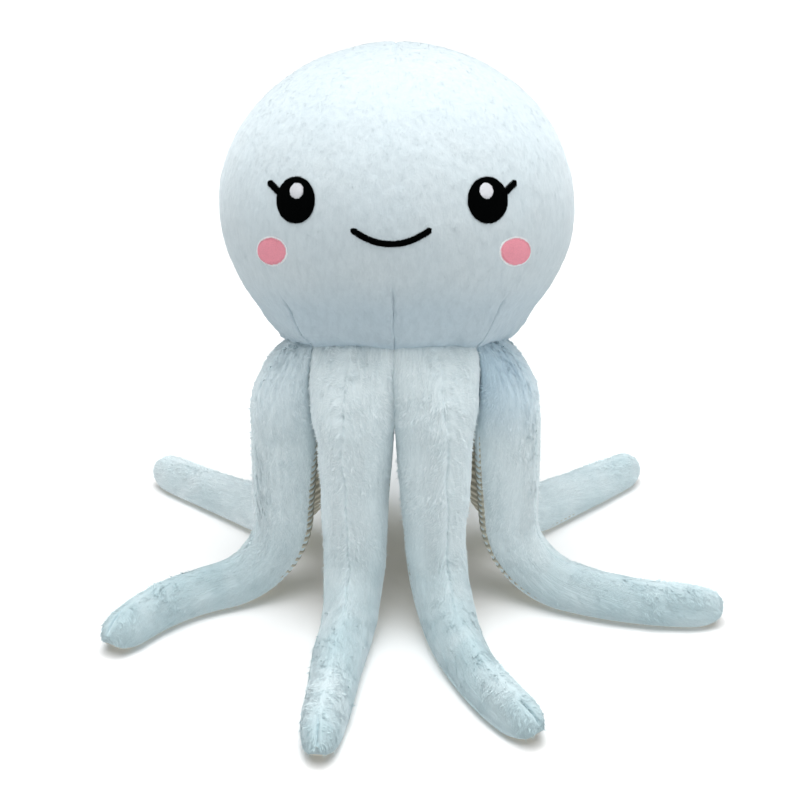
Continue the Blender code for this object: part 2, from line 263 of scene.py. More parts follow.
# The ribbed cloth's colours: painted shade for the valleys between the ribs, and the pale cloth
rib_colours = ((0.26, 0.25, 0.20), (0.60, 0.57, 0.47))
rib_fuzz_colour = (0.42, 0.40, 0.32)

# The stitched face
Stitching = namedtuple("Stitching", "lift dome pitch tilt")
eye_stitching = Stitching(0.0004, 0.0006, 0.00042, 90)
highlight_stitching = Stitching(0.0010, 0.0004, 0.0004, 20)
cheek_stitching = Stitching(0.0002, 0.0004, 0.00040, 65)
ring_stitching = Stitching(0.0001, 0.0001, 0.00045, 65)
cheek_ring_width = 0.0015
# Rings of the dome under the threads, each by its share of the oval and of the dome's height
dome_profile = ((1.0, -0.6), (0.97, -0.1), (0.75, 0.5), (0.45, 0.75), (0.02, 0.85))
dome_columns = 40
face_shift = -0.0004
highlight_shift = 0.0008
cheek_tilt = 12.0
thread_sides = 5
thread_sink = 0.00015
thread_end_share = 0.55
thread_half_width_share = 0.62
oval_stitch_jitter = 0.00018
oval_stitch_step = 0.0014
line_lift = 0.0009
line_pitch = 0.00036
line_slant_share = 0.35

# Studio: the strength of the surrounding light by height, and the lights that are added to it
light_below, light_level, light_above = (0.68, 0.70, 0.71), (1.98, 2.0, 2.0), (0.02, 0.02, 0.02)
horizon_fade = 0.3
sun_strength = 3.2
sun_angle = 65.0
# Each by its name, place, target, size and power
area_lights = (
    ("right_light", (1.2, -0.3, 0.5), (0, 0, 0.12), 1.0, 2.6),
    ("left_light", (-1.2, -0.3, 0.4), (0, 0, 0.12), 1.0, 0.8),
    ("top_light", (0, 0.02, 0.75), (0, 0.02, 0), 0.4, 1.7),
)
floor_radius = 3.0
wall_bend_radius = 2.0
wall_height = 7.0
floor_columns = 64

# Camera, measured against the photograph's frame of 800 by 800 pixels
photo_size = 800
focal_pixels = 1383.0
sensor_width_mm = 36
camera_distance = 0.65
camera_pitch = 26.5
camera_yaw = 1.3
camera_roll = -0.4
neck_pixel = (397.0, 332.5)


def smooth(share):
    share = np.clip(share, 0, 1)
    return share * share * (3 - 2 * share)


def mix(start, end, share):
    return start + (end - start) * share


def compass(azimuth):
    return Vector((sin(radians(azimuth)), -cos(radians(azimuth)), 0))


def unit(vectors):
    return vectors / np.maximum(np.linalg.norm(vectors, axis=-1, keepdims=True), 1e-12)


def together(*values):
    """Coordinates stacked into points, each spread to the shape of the others."""
    return np.stack(np.broadcast_arrays(*values), axis=-1)


def to_world(points, matrix):
    array = np.array(matrix)
    return points @ array[:3, :3].T + array[:3, 3]


def groove(distance, depth, width):
    return depth * np.exp(-(distance / width) ** 2)


# Noise

def lattice(cells, seed):
    """A repeatable random value from -1 to 1 at each whole-number place."""
    mixed = cells[..., 0] * 73856093 ^ cells[..., 1] * 19349663 ^ cells[..., 2] * 83492791
    mixed = mixed ^ (seed * 2654435)
    mixed = (mixed ^ (mixed >> 13)) * 1274126177
    mixed = mixed ^ (mixed >> 16)
    return (mixed & 0xFFFF) / 32767.5 - 1


def noise(points, size, seed):
    """Smooth noise from -1 to 1 over places in space, with lumps about a size across."""
    places = np.asarray(points, float) / size
    cells = np.floor(places).astype(np.int64)
    shares = smooth(places - cells)
    total = 0
    for corner in range(8):
        offset = np.array([corner & 1, corner >> 1 & 1, corner >> 2 & 1])
        weight = np.where(offset == 1, shares, 1 - shares).prod(axis=-1)
        total = total + weight * lattice(cells + offset, seed)
    return total


def lumps(points, kinds, *seeds):
    """Noise summed over kinds of lump, which have a height and a size across."""
    return sum(height * noise(points, size, seed) for (height, size), seed in zip(kinds, seeds))


# Meshes

def add_layers(mesh, layers):
    """Give a mesh its named coordinates, which its material reads."""
    index = np.empty(len(mesh.loops), np.int32)
    mesh.loops.foreach_get("vertex_index", index)
    for name, values in layers.items():
        layer = mesh.uv_layers.new(name=name)
        layer.data.foreach_set("uv", values.reshape(-1, 2)[index].astype(np.float32).ravel())


def make_object(name, vertices, faces, material, layers=None):
    mesh = bpy.data.meshes.new(name)
    mesh.from_pydata(vertices.reshape(-1, 3).tolist(), [], faces)
    mesh.materials.append(material)
    mesh.shade_smooth()
    add_layers(mesh, layers or {})
    piece = bpy.data.objects.new(name, mesh)
    bpy.context.scene.collection.objects.link(piece)
    return piece


def grid_faces(rows, columns):
    """The quads of a grid of rings, as a list of indices."""
    i, j = np.meshgrid(np.arange(rows - 1), np.arange(columns), indexing="ij")
    k = (j + 1) % columns
    quads = (i * columns + j, i * columns + k, (i + 1) * columns + k, (i + 1) * columns + j)
    return together(*quads).reshape(-1, 4).tolist()


def grid_normals(grid):
    """Unit normals of a grid of rings, along the rings crossed with from ring to ring."""
    across = np.roll(grid, -1, axis=1) - np.roll(grid, 1, axis=1)
    return unit(np.cross(across, np.gradient(grid, axis=0)))


def make_cushion(name, grid, material, layers):
    """A closed piece from a grid of rings, whose end rings are merged or filled."""
    piece = make_object(name, grid, grid_faces(*grid.shape[:2]), material, layers)
    bm = bmesh.new()
    bm.from_mesh(piece.data)
    bmesh.ops.remove_doubles(bm, verts=bm.verts, dist=1e-6)
    bmesh.ops.dissolve_degenerate(bm, edges=bm.edges, dist=1e-7)
    bmesh.ops.holes_fill(bm, edges=[e for e in bm.edges if e.is_boundary], sides=0)
    bmesh.ops.recalc_face_normals(bm, faces=bm.faces)
    if bm.calc_volume(signed=True) < 0:
        bmesh.ops.reverse_faces(bm, faces=bm.faces)
    bm.to_mesh(piece.data)
    bm.free()
    piece.data.shade_smooth()
    return piece


def fix_to_head(piece, slot, *nodes):
    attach(piece, "head")
    if nodes:
        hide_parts(*nodes)


# Head

def head_frame_matrix():
    tilt = Matrix.Rotation(radians(-head_tilt), 4, "X")
    return Matrix.Translation((0, 0, neck_height)) @ tilt


def neck_corner_stretch(azimuths):
    """How much wider the neck's octagon is than its circle."""
    from_middle = np.mod(azimuths, 2 * octagon_half_angle) - octagon_half_angle
    return neck_seam_radius / np.cos(np.radians(from_middle)) / neck_round_radius


def seam_frame(arm):
    """The seat of an arm at the neck, the direction of its seam and the way that it leaves."""
    matrix = head_frame_matrix()
    seat = matrix @ (compass(arm.azimuth) * hinge_radius - Vector((0, 0, hinge_drop)))
    seam = matrix.to_3x3() @ compass(arm.azimuth + 90)
    down = -(Vector((0, 0, 1)) - seam * seam.z).normalized()
    lean = radians(arm.shoulder_lean)
    return seat, seam, down * cos(lean) + down.cross(seam) * sin(lean)


def toy_centre():
    """How far the part was moved to stand centred, from the first arm's hinge."""
    swing = next(joint for joint in frame["joints"] if joint["name"] == "arm_1_swing")
    seat = seam_frame(arms[0])[0]
    return Vector((swing["pos_m"][0] - seat.x, swing["pos_m"][1] - seat.y, 0))


def head_grid():
    """Rings of the head from the crown down to its rim, in the neck's frame."""
    chin_end = asin(neck_to_widest / chin_height)
    upper = np.linspace(pi / 2, 0, ceil(head_radius * pi / 2 / head_row_step), endpoint=False)
    lower = np.linspace(0, chin_end, ceil(head_radius * chin_end / head_row_step))
    radius = head_radius * np.cos(np.concatenate((upper, lower)))[:, None]
    rises = np.concatenate((crown_height * np.sin(upper), -chin_height * np.sin(lower)))
    height = (neck_to_widest + rises)[:, None]
    azimuth = np.linspace(0, 360, head_columns, endpoint=False)
    azimuth -= np.degrees(dart_crowding * np.sin(np.radians(azimuth * arm_count)) / arm_count)
    angle = np.radians(azimuth)
    gathered = smooth(1 - height / (neck_to_widest * neck_gather_share))
    rolled = smooth(1 - height / rim_rise)
    across = radius * mix(1, neck_corner_stretch(azimuth), gathered) + rim_roll * rolled
    height = height - rim_drop * rolled
    return together(across * np.sin(angle), -across * np.cos(angle), height), angle, height


def head_relief(grid, angle, height):
    """How far the stuffed fabric stands out from its plain form: lumps, seams and gathers."""
    relief = lumps(grid, head_lumps, 3, 5)
    x, y = grid[..., 0], grid[..., 1]
    across = np.hypot(x, y)
    wander = 0.0004 * noise(grid, 0.006, 8)
    for k in range(arm_count):
        turn = np.angle(np.exp(1j * (angle - radians(k * 360 / arm_count))))
        beside = turn * across + wander
        top = middle_seam_top if k % (arm_count // 2) == 0 else neck_seam_top
        fade = smooth((top - height) / neck_seam_fade) * smooth((pi / 3 - np.abs(turn)) * 4)
        relief -= fade * (groove(beside, *neck_seam) + groove(beside, *neck_seam_hollow))
    # The seam over the crown from side to side, and the darts that run from it
    shown = smooth((height - crown_seam_low) / crown_seam_fade)
    relief -= groove(y + wander / 2, *crown_seam) * shown
    for side in (-1, 1):
        dart = groove(x + wander, *crown_dart) * smooth(side * y / 0.004)
        reach = smooth((crown_dart_reach - side * y) / crown_dart_fade)
        relief -= dart * reach * (height > neck_to_widest)
    # Small folds gathered along the neck
    folds = lumps(together(across * angle, height * 0.35, 0), (neck_folds,), 17)
    return relief + folds * smooth(1 - height / neck_fold_reach)


def make_head(material):
    """The head's plush, with the places and the shading of the part that carries pile."""
    grid, angle, height = head_grid()
    normals = -grid_normals(grid)
    normals[0] = (0, 0, 1)
    grid = grid + normals * head_relief(grid, angle, height)[..., None]
    grid[0] = grid[0].mean(axis=0)
    rows = len(grid)
    under = []
    for inward, rise in rim_underside:
        share = 1 - inward / neck_seam_radius
        under.append(grid[-1] * (share, share, 0) + (0, 0, rise))
    innermost = under[-1]
    for share in (0.7, 0.4, 0.0):
        under.append(innermost * (share, share, 1) + (0, 0, 0.001 * (1 - share)))
    grid = np.concatenate((grid, under))
    clumps = sum(rise * noise(grid * (1, 1, stretch), size, seed)
                 for rise, size, stretch, seed in head_clumps)
    clumps[rows:] = 0
    grid = grid - grid_normals(grid) * clumps[..., None]
    grid[0] = grid[0].mean(axis=0)
    # Painted shade: darker on the head's underside near its rim and at the neck's seam
    painted_shade = painted_shade_rim * smooth((painted_shade_rim_reach - grid[..., 2]) / painted_shade_rim_fade)
    painted_shade += painted_shade_seam * smooth(-grid[..., 2] / painted_shade_seam_reach)
    tone = together(0, painted_shade)
    grid = to_world(grid, head_matrix)
    return make_cushion("head_plush", grid, material, {"tone": tone}), grid[:rows], tone[:rows]


def make_base(material):
    """The ribbed panel that closes the head's underside."""
    azimuth = np.linspace(0, 360, base_columns, endpoint=False)
    outer = neck_corner_stretch(azimuth) * neck_round_radius - base_inset
    shares = np.concatenate(((0.0,), np.linspace(0.02, 1, 60)))[:, None]
    x = outer * shares * np.sin(np.radians(azimuth))
    y = -outer * shares * np.cos(np.radians(azimuth))
    bottom = together(x, y, base_bottom - base_rib_height * np.cos(2 * pi * x / rib_pitch))
    grid = np.concatenate((bottom, together(x, y, base_top)[::-1]))
    piece = make_cushion("base_ribbed_panel", to_world(grid, head_matrix), material,
                         {"ribs": grid[..., [1, 0]]})
    fix_to_head(piece, "cream_ribbed_fabric", "base_panel")


# Arms

def arm_reach(arm):
    return arm_length * arm.length_share


def tip_share(arm, along):
    """The share of an arm's thickness that is left towards its rounded end."""
    beyond = np.clip((along - arm_reach(arm) + tip_rounding) / tip_rounding, 0, 1)
    return (1 - beyond ** tip_bluntness) ** (1 / tip_bluntness)


def calm_share(arm, along):
    """1 on the smooth stretch of an arm between its bend and its tip."""
    tip = smooth((arm_reach(arm) - tip_pinch_reach - along) / 0.02)
    return smooth((along - cool_from) / run_fade) * tip


def arm_section(arm, along):
    """Half width, half depth and the sole's share of the depth at places along an arm."""
    along = np.asarray(along, float)
    end = arm_reach(arm) - tip_rounding
    swell = np.sin(radians(90) * np.clip(along / shoulder_length, 0, 1))
    taper = smooth((along - shoulder_length) / (end - shoulder_length))
    half_width = mix(mix(arm_top_width, arm_width, swell), arm_tip_width, taper) / 2
    half_depth = mix(mix(2 * arm_edge_radius, arm_depth, swell), arm_tip_depth, taper) / 2
    rounding = tip_share(arm, along)
    pinch = smooth((along - arm_reach(arm) + tip_pinch_reach) / tip_pinch_reach)
    pinch = pinch * tip_pinches[arms.index(arm)]
    edge = np.sqrt(np.maximum(1 - (np.minimum(along, 0) / arm_edge_radius) ** 2, 0))
    sole_share = mix(edge_sole_depth_share, sole_depth_share, swell)
    half_width = half_width * (1 - pinch) * rounding
    half_depth = half_depth * (1 - pinch / 2) * rounding * edge
    return half_width, half_depth, sole_share


def walk_arm(arm, drop):
    """Stations along an arm that bends after a drop, and where its run on the floor starts."""
    here, seam, leaving = seam_frame(arm)
    bend = bend_radius * radians(90 - arm.lean)
    run_start = drop + bend
    steps = ceil(arm_reach(arm) / route_step)
    step = arm_reach(arm) / steps
    stations = []
    for i in range(2 * steps + 1):
        along = i * step / 2
        pitch = radians(mix(arm.lean, 90, min(max((along - drop) / bend, 0), 1)))
        run_share = min(max((along - run_start) / (arm_reach(arm) - run_start), 0), 1)
        facing = mix(arm.azimuth, arm.heading, float(smooth(along / drop))) + arm.turn * run_share
        left = float(smooth(along / shoulder_length))
        ahead = compass(facing) * sin(pitch) - Vector((0, 0, cos(pitch)))
        ahead = leaving.lerp(ahead, left).normalized()
        side = seam.lerp(compass(facing + 90), left)
        side = (side - ahead * side.dot(ahead)).normalized()
        if i % 2:
            here = here + ahead * step
        else:
            stations.append((along, here, ahead, side))
    return stations, run_start


def route_arm(arm):
    """An arm's stations, with the drop that lays its run on the floor."""
    drop = neck_height / 2
    for _ in range(3):
        stations, run_start = walk_arm(arm, drop)
        low = stations[-1][1].z - (float(arm_section(arm, run_start)[1]) - flat_depth)
        drop += low / cos(radians(arm.lean))
    return walk_arm(arm, drop)


def arm_frames(arm, places):
    """Centres, directions, sides and outward directions at places along an arm."""
    stations, run_start = route_arm(arm)
    known = [station[0] for station in stations]
    centres, ahead, side = (
        together(*(np.interp(places, known, [station[k][a] for station in stations])
                   for a in range(3)))
        for k in (1, 2, 3)
    )
    before = places < 0
    ahead = unit(ahead)
    centres[before] += ahead[before] * places[before, None]
    side = unit(side - ahead * (side * ahead).sum(-1, keepdims=True))
    full_end = np.minimum(places, arm_reach(arm) - tip_rounding)
    laid_height = arm_section(arm, full_end)[1] - flat_depth
    centres[:, 2] = np.where(places >= run_start, laid_height, centres[:, 2])
    return centres + np.array(toy_offset), ahead, side, np.cross(ahead, side), run_start


def arm_places(arm, step):
    """Places along an arm, close together at its two rounded ends."""
    start = -arm_edge_radius * np.cos(np.linspace(0, pi / 2, 5, endpoint=False))
    end = arm_reach(arm) - tip_rounding
    middle = np.linspace(0, end, ceil(end / step), endpoint=False)
    tip = end + tip_rounding * np.sin(np.linspace(0, pi / 2, 18))
    return np.concatenate((start, middle, tip))


def section_points(half_width, half_depth, sole_share, angles, inset):
    """Points of an arm's cross-sections: widths and depths by place, at angles round them."""
    seam = half_depth * (2 * sole_share - 1)
    rise = (half_depth - seam)[:, None]
    depth = np.maximum(half_depth + seam - inset, 0)[:, None]
    upward = np.sin(angles)[None, :]
    y = seam[:, None] + np.where(upward >= 0, rise, depth) * upward
    floor = -(half_depth - np.minimum(flat_depth, half_depth * 0.1) - inset)[:, None]
    return half_width[:, None] * np.cos(angles)[None, :], np.maximum(y, floor)


def section_grid(centres, side, out, x, y):
    """Rings of points from an arm's frames and cross-sections."""
    return centres[:, None] + side[:, None] * x[..., None] + out[:, None] * y[..., None]


def swell_flanks(x, number, places, angles):
    """Widen the outer half of an arm's sections towards its neighbours, met at the neck."""
    arm = arms[number - 1]
    centres, _, side, _, _ = arm_frames(arm, places)
    outer = smooth(np.sin(angles) * 3.0 + 0.45)
    fade = smooth((slit_places[-1] - places) / flank_fade)
    at_neck = smooth((flank_reach + flank_fade - places) / flank_fade)
    for turn in (1, -1):
        other = arms[(number - 1 + turn) % arm_count]
        other_centres, _, other_side, _, _ = arm_frames(other, places)
        mine = centres + side * arm_section(arm, places)[0][:, None] * turn
        theirs = other_centres - other_side * arm_section(other, places)[0][:, None] * turn
        apart = ((theirs - mine) * side).sum(axis=-1) * turn
        near = np.maximum(smooth(3 - apart / flank_near), at_neck)
        half_slit = (apart - np.interp(places, slit_places, slit_widths)) / 2
        reach = np.clip(half_slit + gap, 0, flank_limit) * near * fade
        x = x + turn * reach[:, None] * np.maximum(turn * np.cos(angles), 0) ** 0.5 * outer
    return x * (1 - groove(places - knee_place, knee_share, knee_length))[:, None]


def nap_angle(arc):
    """The pile's turn away from the arm's length, most beside the middle seam."""
    return np.radians(mix(nap_turn_at_seam, nap_turn_at_side, smooth(np.abs(arc) / nap_turn_reach)))


def nap_places(arc, along):
    """Distances across the nap and along it, so that streaks follow the pile."""
    reach = np.linspace(0, 0.06, 400)
    slope = 1 / np.tan(nap_angle(reach))
    run = np.concatenate(((0,), np.cumsum((slope[1:] + slope[:-1]) / 2 * np.diff(reach))))
    turn = nap_angle(arc)
    return (along - np.interp(np.abs(arc), reach, run)) * np.sin(turn), arc / np.sin(turn)


def nap_relief(across, following, grid, seed):
    """Tufts of pile, longer along the nap than across it, that turn this way and that."""
    turn = lumps(grid, nap_swirls, seed, seed + 1)
    flat = together(across + turn, (following + 0.8 * turn) * 0.5, 0)
    (height, size), (lower, smaller) = clump_lumps
    tufts = height * noise(flat, size, seed + 2) + lower * noise(flat + 0.5, smaller, seed + 3)
    return clump_height * tufts


def arm_relief(arm, number, places, arc, angles, grid, run_start):
    """Lumps of the stuffing, the seam down the middle, the bend's folds and the pinched tip."""
    seed = 40 + number * 7
    relief = lumps(grid, arm_lumps, seed, seed + 1)
    along = places[:, None]
    line = together(along, 0, 0)
    wander = 0.0008 * noise(line, 0.012, seed + 2)
    pucker = noise(line, 0.0045, seed + 3)
    stitch = 0.5 + 0.5 * np.cos(2 * pi * (along + 2 * wander) / stitch_length)
    depth = arm_seam_depth + arm_seam_pucker * pucker + stitch_depth * stitch
    seam = groove(arc + wander, depth, arm_seam_width)
    seam = seam + groove(arc, *arm_seam_hollow) * (1 + 0.4 * pucker)
    seam_end = arm_reach(arm) * arm_seam_end_share
    relief -= seam * smooth(along / 0.012) * smooth((seam_end - along) / 0.03)
    for k, (back, depth) in enumerate(bend_folds):
        bow = 0.0015 * noise(grid, 0.012, seed + 4 + k) + 14 * arc * arc
        fold = groove(along - run_start + back + bow, depth, fold_width)
        relief -= fold * smooth(noise(grid, 0.016, seed + 8 + k) + 0.75)
    left = tip_share(arm, along)
    tip = smooth((along - (arm_reach(arm) - 0.014)) / 0.008) * smooth(left / 0.6)
    depth = deep_tip_crease if number in deep_creased_arms else tip_crease_depth
    relief -= tip * (groove(arc + wander, depth, tip_crease_width)
                     + groove(arc, depth / 4, tip_hollow_width))
    upper = smooth(np.sin(angles) * 4 + 0.6)
    return (relief * smooth(left / 0.4) * upper + arm_fullness) * smooth(along / 0.01 + 0.2)


def make_arm(number, arm, plush, pile_cloth, ribbed):
    name = "arm_%d" % number
    places = arm_places(arm, arm_row_step)
    centres, ahead, side, out, run_start = arm_frames(arm, places)
    sizes = arm_section(arm, places)
    half_width = sizes[0][:, None]
    even = np.linspace(0, 2 * pi, arm_columns, endpoint=False)
    angles = even + top_crowding * np.cos(even)
    x, y = section_points(*sizes, angles, sole_thickness)
    grid = section_grid(centres, side, out, swell_flanks(x, number, places, angles), y)
    normals = grid_normals(grid)
    arc = half_width * (np.mod(angles + pi / 2, 2 * pi) - pi)
    along = np.broadcast_to(places[:, None], arc.shape)
    relief = arm_relief(arm, number, places, arc, angles, grid, run_start)
    # The side seams draw the plush in towards the sole
    relief -= groove(np.minimum(np.abs(angles), np.abs(angles - pi)) * half_width, *side_seam)
    across, following = nap_places(arc, along)
    ruffled = smooth(0.55 + 1.1 * noise(grid, 0.018, 310 + number))
    clumps = nap_relief(across, following, grid, 300 + 9 * number)
    clumps *= 0.28 + 0.72 * ruffled + groove(arc, 0.5, seam_ruffle_reach)
    clumps *= mix(1, run_clump_share, smooth((along - run_start + run_fade) / run_fade))
    clumps *= smooth(np.sin(angles) * 3 + 0.5) * smooth(tip_share(arm, along) / 0.5)
    grid = grid + normals * (relief + clumps)[..., None]
    for end in (0, -1):
        grid[end] = grid[end].mean(axis=0)
    # Painted shade: darker at the arm's top, where the head shades it, and at the neck's seam
    painted_shade = painted_shade_arms.get(number, 0) * smooth((painted_shade_reach - along) / painted_shade_fade)
    painted_shade *= np.clip(1 + painted_shade_sides.get(number, 0) * arc / painted_shade_side_reach, 0.1, 1.35)
    painted_shade += painted_shade_seam * smooth(1 - along / painted_shade_seam_reach)
    layers = {
        "nap": together(across, following),
        "body": together(arc + number, along),
        "tone": together(bluer_arms.get(number, 0), painted_shade),
    }
    piece = make_cushion(name + "_plush", grid, plush, layers)
    sole = make_sole(number, arm, ribbed)
    pile = make_pile(number, grid, normals, ahead, angles, arc, layers, pile_cloth)
    cut_frames = arm_frames(arm, np.array([run_start + heel_length]))
    for thing in (piece, sole, pile):
        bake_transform(thing)
    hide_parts(name + "_root_skin", name + "_tip_skin", name + "_root_stuffing",
                name + "_tip_stuffing")
    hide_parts(name + "_root_sole", name + "_tip_sole")


def make_sole(number, arm, ribbed):
    """The ribbed strip under an arm, with its ribs running across and showing at its edges."""
    places = arm_places(arm, rib_pitch / rib_samples)
    places = places[places > -arm_edge_radius * 0.5]
    centres, _, side, out, _ = arm_frames(arm, places)
    half_width, half_depth, sole_share = arm_section(arm, places)
    half_width = np.maximum(half_width, least_sole_half_width)
    angles = np.linspace(pi, 2 * pi, sole_columns)
    rib = (1 - (0.5 - 0.5 * np.cos(2 * pi * places / rib_pitch)) ** 2)[:, None]
    x, y = section_points(half_width, half_depth, sole_share, angles, 0)
    edge = np.abs(np.cos(angles)) ** 6
    shown = smooth((arm_reach(arm) - sole_edge_end - places) / 0.02) * (number in sole_edges_shown)
    stand_out = mix(-sole_edge, sole_edge, shown)[:, None]
    push = rib * (stand_out * edge + rib_height * (1 - edge) * 0.5)
    x = x * (1 + push / half_width[:, None])
    y = y + (1 - rib) * rib_height * 0.8 * smooth(-np.sin(angles) * 3)
    inside = section_points(half_width * 0.9, half_depth, sole_share, angles, sole_thickness * 1.3)
    outer = section_grid(centres, side, out, x, y)
    inner = section_grid(centres, side, out, *inside)
    ring = np.concatenate((outer, inner[:, ::-1]), axis=1)
    uvs = together(np.linspace(0, 0.06, ring.shape[1]), places[:, None])
    return make_cushion("arm_%d_ribbed_sole" % number, ring, ribbed, {"ribs": uvs})


# Pile

def blades(name, roots, lay, normals, soft, sizes, own_share, layers, material):
    """Tapered blades of pile, one triangle each, shaded partly by the fabric's soft normals."""
    lengths, widths = (size[:, None] for size in sizes)
    roots = roots - normals * pile_root_depth
    sideways = unit(np.cross(lay, normals))
    corners = np.stack((roots - sideways * widths / 2, roots + sideways * widths / 2,
                        roots + lay * lengths), axis=1)
    layers = {layer: np.repeat(values, 3, axis=0) for layer, values in layers.items()}
    faces = np.arange(3 * len(roots)).reshape(-1, 3).tolist()
    piece = make_object(name, corners, faces, material, layers)
    own = unit(np.cross(sideways, lay))
    own = np.where((own * normals).sum(-1, keepdims=True) < 0, -own, own)
    shading = unit(mix(soft, own, np.clip(own_share, 0, 1)[:, None]))
    piece.data.normals_split_custom_set_from_vertices(np.repeat(shading, 3, axis=0).tolist())
    return piece


def scatter(grid, values, count, random, keep):
    """Random places on a grid of rings, evenly by area, with the values it carries there."""
    here = grid[:-1]
    beside = np.roll(grid, -1, axis=1)[:-1]
    area = np.linalg.norm(np.cross(beside - here, grid[1:] - here), axis=-1) * keep
    cells = random.choice(area.size, count, p=(area / area.sum()).ravel())
    i, j = np.divmod(cells, grid.shape[1])
    k = (j + 1) % grid.shape[1]
    u, v = random.random(count)[:, None], random.random(count)[:, None]
    return [mix(mix(field[i, j], field[i, k], u), mix(field[i + 1, j], field[i + 1, k], u), v)
            for field in (grid, *values)]


def lay_pile(points, normals, nap, lift, spread, random):
    """Pile directions: along the nap, lifted off the fabric and turned this way and that."""
    turn = lumps(points, blade_swirls, 71, 72) * spread
    turn = turn + random.normal(0, spread * 0.35, len(points))
    nap = unit(nap - normals * (nap * normals).sum(-1, keepdims=True))
    across = np.cross(normals, nap)
    laid = nap * np.cos(turn)[:, None] + across * np.sin(turn)[:, None]
    rise = lift * (1 + 1.2 * noise(points, 0.0019, 73) + 0.3 * random.normal(0, 1, len(points)))
    return unit(laid + normals * np.clip(rise, 0.06, 1.2)[:, None])


def blade_sizes(length, count, random):
    return length * random.uniform(0.6, 1.15, count), pile_width * random.uniform(0.7, 1.2, count)


def make_pile(number, grid, normals, ahead, angles, arc, layers, material):
    """An arm's pile: lying smooth at the sides, with flecks that stand up along the seam."""
    random = np.random.default_rng(500 + number)
    arm = arms[number - 1]
    around = unit(np.roll(grid, -1, axis=1) - np.roll(grid, 1, axis=1))
    calm = calm_share(arm, layers["body"][..., 1])
    turn = (nap_angle(arc) * mix(1, run_turn_share, calm))[..., None]
    nap = ahead[:, None] * np.cos(turn) + around * np.sin(turn) * np.sign(arc)[..., None]
    groups = (normals, nap, arc[..., None], *layers.values())
    roots, normals, nap, beside, *carried = scatter(grid, groups, arm_pile_count, random,
                                                    np.sin(angles) > -0.02)
    normals, nap = unit(normals), unit(nap)
    carried = dict(zip(layers, carried))
    ruffled = smooth(0.35 + 0.9 * noise(roots, 0.016, 310 + number)
                     + groove(beside[:, 0], 0.6, seam_ruffle_reach))
    ruffled = ruffled * mix(1, run_ruffle_share, calm_share(arm, carried["body"][:, 1]))
    fleck = random.random(len(roots)) < fleck_share * ruffled
    lift = np.where(fleck, 0.55, 0.16 + 0.16 * ruffled)
    spread = np.where(fleck, 0.9, 0.35 + 0.25 * ruffled)
    lay = lay_pile(roots, normals, nap, lift, spread, random)
    lengths, widths = blade_sizes(arm_pile_length, len(roots), random)
    lengths = lengths * np.where(fleck, 1.2, 1)
    widths = widths * np.where(fleck, 1.3, 0.9)
    tufts = lumps(roots, tuft_lumps, 520 + number, 530 + number)
    soft = unit(normals - nap * (tuft_shading * ruffled * tufts)[:, None])
    own_share = own_normal_share * widths / pile_width * (0.60 + 0.45 * ruffled)
    return blades("arm_%d_pile" % number, roots, lay, normals, soft, (lengths, widths), own_share,
                  carried, material)


def make_head_pile(grid, layer, material):
    """The head's pile, which lies downwards and leaves the embroidery bare."""
    random = np.random.default_rng(499)
    normals = -grid_normals(grid)
    normals[0] = normals[1].mean(axis=0)
    down = -np.array(head_matrix.to_3x3() @ Vector((0, 0, 1)))
    groups = (normals, np.broadcast_to(down, grid.shape), layer)
    roots, normals, nap, tone = scatter(grid, groups, head_pile_count, random, 1)
    normals = unit(normals)
    lay = lay_pile(roots, normals, unit(nap), head_pile_lift, head_pile_spread, random)
    lengths, widths = blade_sizes(head_pile_length, len(roots), random)
    clear = away_from_face(roots)
    lengths = lengths * clear
    own_share = own_normal_share * widths / pile_width
    kept = clear > least_blade_share
    roots, lay, normals, lengths, widths, own_share, tone = (
        values[kept] for values in (roots, lay, normals, lengths, widths, own_share, tone))
    return blades("head_pile", roots, lay, normals, normals, (lengths, widths), own_share,
                  {"tone": tone}, material)


# Face

def head_axes(up):
    return (head_radius, head_radius, crown_height if up > 0 else chin_height)


def on_plain_head(across, up):
    """The place on the head's plain form under a place on the face, in the neck's frame."""
    high = up / head_axes(up)[2]
    depth = head_radius * sqrt(max(1 - (across / head_radius) ** 2 - high ** 2, 0.01))
    return Vector((across, -depth, up + neck_to_widest))


def drawn_to_fabric(plain, lift):
    """A place moved onto the head's plush and raised off it, and the direction outward."""
    outward = (plain - head_matrix @ Vector((0, 0, neck_to_widest))).normalized()
    hit = head_tree.ray_cast(plain + outward * 0.02, -outward)[0]
    return (plain if hit is None else hit) + outward * lift, outward


def patch_axes(across, up):
    """The middle of an embroidered patch with its sideways and upward directions."""
    middle = on_plain_head(across, up)
    local = middle - Vector((0, 0, neck_to_widest))
    normal = Vector([place / axis ** 2 for place, axis in zip(local, head_axes(up))]).normalized()
    sideways = Vector((0, 0, 1)).cross(normal).normalized()
    turn = head_matrix.to_3x3()
    return head_matrix @ middle, turn @ sideways, turn @ normal.cross(sideways)


def smile_point(share):
    drop = mix(smile_middle_drop, smile_end_drop, share * share)
    return share * smile_half_width + face_shift, -drop


def away_from_face(points):
    """0 under the embroidery, rising to 1 just beyond it."""
    local = to_world(points, head_matrix.inverted())
    clear = np.ones(len(points))
    for side in (-1, 1):
        for across, up, width, height in (
            (side * eye_across + face_shift, eye_up, eye_width, eye_height),
            (side * cheek_across, -cheek_drop, cheek_width, cheek_height),
        ):
            middle, sideways, upward = (np.array(v) for v in patch_axes(across, up))
            offset = points - middle
            reach = np.hypot(offset @ sideways / (width / 2), offset @ upward / (height / 2))
            clear = np.minimum(clear, smooth((reach - 1.0) / 0.30))
    for share in np.linspace(-1, 1, 60):
        px, pz = smile_point(share)
        away = np.hypot(local[:, 0] - px, local[:, 2] - neck_to_widest - pz) - line_width / 2
        clear = np.minimum(clear, smooth(away / 0.002))
    return np.where(local[:, 1] < 0, clear, 1)


